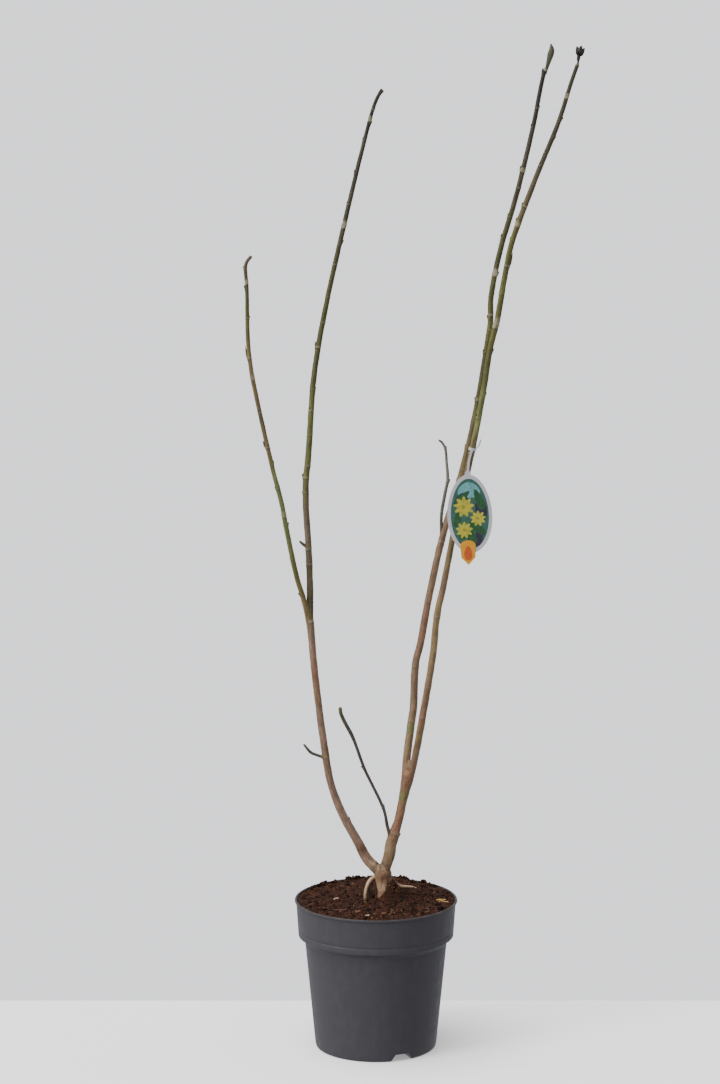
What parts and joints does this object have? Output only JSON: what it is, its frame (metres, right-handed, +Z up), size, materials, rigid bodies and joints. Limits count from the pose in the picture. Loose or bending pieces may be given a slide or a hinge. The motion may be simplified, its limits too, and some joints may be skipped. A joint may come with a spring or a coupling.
{
  "type": "potted yellow river magnolia",
  "caption": "Bare young yellow river magnolia with slim upright stems and budded twigs, standing in a round nursery pot filled with compost, with a plain oval hanging label.",
  "frame": {"origin": "on the pot's axis at its flat underside, where it stands on the floor", "axes": "+Z up along the plant, its longest way; -Y faces the viewer of the picture, +X is to the right"},
  "size_m": [0.5393, 0.271, 1.6611],
  "materials": {
    "pot_plastic": "matte moulded polypropylene",
    "compost": "moist crumbly compost",
    "old_bark": "dull bark",
    "young_bark": "smooth olive brown bark",
    "twig": "dark smooth twig bark",
    "label": "thin glossy label plastic",
    "badge": "thin glossy sticker"
  },
  "bodies": {
    "root": {"pot": "pot_plastic", "compost": "compost", "trunk": "old_bark", "left_stem": "old_bark", "right_stem": "old_bark", "left_outer_bough": "young_bark", "left_inner_bough": "young_bark", "right_inner_bough": "young_bark", "right_outer_bough": "young_bark", "left_outer_twig": "twig", "left_inner_twig": "twig", "right_inner_twig": "twig", "right_outer_twig": "twig", "side_shoot": "twig", "low_twig": "twig", "left_spur": "twig", "inner_spur": "twig", "label_card": "label", "label_badge": "badge"}
  },
  "joints": []
}
